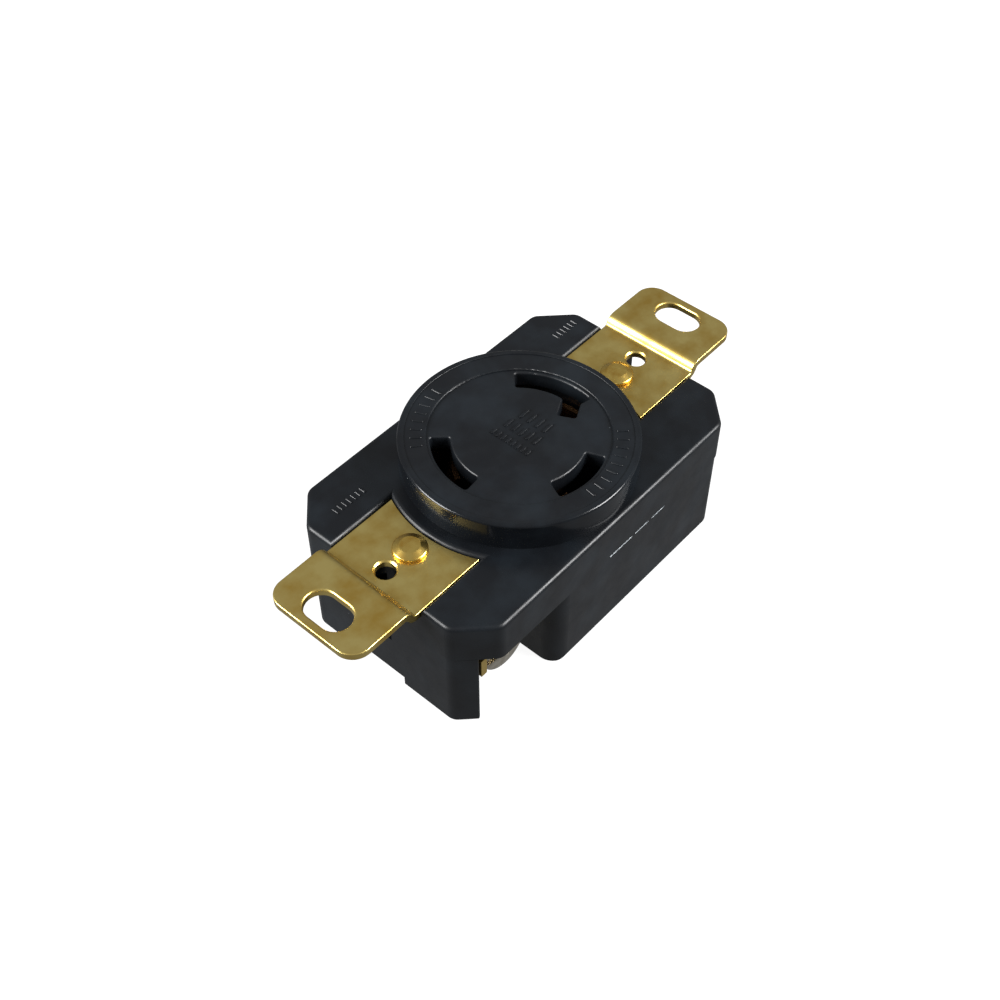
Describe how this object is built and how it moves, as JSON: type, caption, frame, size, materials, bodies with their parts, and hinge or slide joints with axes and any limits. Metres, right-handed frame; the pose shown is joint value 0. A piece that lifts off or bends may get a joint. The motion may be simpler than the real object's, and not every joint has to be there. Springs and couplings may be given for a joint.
{
  "type": "locking receptacle",
  "caption": "Flush-mounting locking power receptacle: eight-sided black body, round raised face with arc slots, slotted brass mounting ears and screw-clamp side terminals.",
  "frame": {"origin": "on the axis of the round boss, midway between the two box screws, in the plane of the ears' underside that seats on the wall box", "axes": "+X along the strap towards the ground slot (the hooked one), +Z out of the face towards the plug, +Y across the body"},
  "size_m": [0.0914, 0.04, 0.0293],
  "materials": {
    "black_plastic": "satin moulded thermoset, fine grain",
    "strap_brass": "satin rolled and pressed",
    "rivet_brass": "bright headed",
    "terminal_brass": "pressed",
    "contact_bronze": "spring temper, satin",
    "plated_steel": "bright nickel plating",
    "screw_brass": "turned",
    "green_screw": "green dyed plating"
  },
  "bodies": {
    "root": {"face_housing": "black_plastic", "rear_body": "black_plastic", "lower_strap": "strap_brass", "upper_strap": "strap_brass", "lower_strap_rivet": "rivet_brass", "upper_strap_rivet": "rivet_brass", "lower_rivet_washer": "rivet_brass", "upper_rivet_washer": "rivet_brass", "ground_bond_strip": "terminal_brass", "ground_bond_rivet": "rivet_brass", "neutral_contact_clip": "contact_bronze", "neutral_terminal_plate": "terminal_brass", "neutral_contact_rivet": "rivet_brass", "line_contact_clip": "contact_bronze", "line_terminal_plate": "terminal_brass", "line_contact_rivet": "rivet_brass", "ground_contact_clip": "contact_bronze", "ground_terminal_plate": "terminal_brass", "ground_contact_rivet": "rivet_brass"},
    "neutral_clamp": {"neutral_clamp_plate": "plated_steel"},
    "neutral_screw": {"neutral_terminal_screw": "plated_steel"},
    "line_clamp": {"line_clamp_plate": "plated_steel"},
    "line_screw": {"line_terminal_screw": "screw_brass"},
    "ground_clamp": {"ground_clamp_plate": "plated_steel"},
    "ground_screw": {"ground_terminal_screw": "green_screw"}
  },
  "joints": [
    {"name": "neutral_clamp_slide", "type": "slide", "parent": "root", "child": "neutral_clamp", "axis": [0, -1, 0], "range_m": [0, 0.003]},
    {"name": "neutral_screw_turn", "type": "hinge", "parent": "neutral_clamp", "child": "neutral_screw", "pos_m": [-0.0217, -0.0137, -0.0136], "axis": [0, -1, 0], "range_deg": [0, 1361]},
    {"name": "line_clamp_slide", "type": "slide", "parent": "root", "child": "line_clamp", "axis": [0, 1, 0], "range_m": [0, 0.003]},
    {"name": "line_screw_turn", "type": "hinge", "parent": "line_clamp", "child": "line_screw", "pos_m": [-0.0217, 0.0137, -0.0136], "axis": [0, 1, 0], "range_deg": [0, 1361]},
    {"name": "ground_clamp_slide", "type": "slide", "parent": "root", "child": "ground_clamp", "axis": [0, 1, 0], "range_m": [0, 0.003]},
    {"name": "ground_screw_turn", "type": "hinge", "parent": "ground_clamp", "child": "ground_screw", "pos_m": [0.0217, 0.0137, -0.0136], "axis": [0, 1, 0], "range_deg": [0, 1361]}
  ],
  "couplings": [
    {"joint": "neutral_screw_turn", "follows": "neutral_clamp_slide", "rad_per_m": 7913.3},
    {"joint": "line_screw_turn", "follows": "line_clamp_slide", "rad_per_m": 7913.3},
    {"joint": "ground_screw_turn", "follows": "ground_clamp_slide", "rad_per_m": 7913.3}
  ]
}
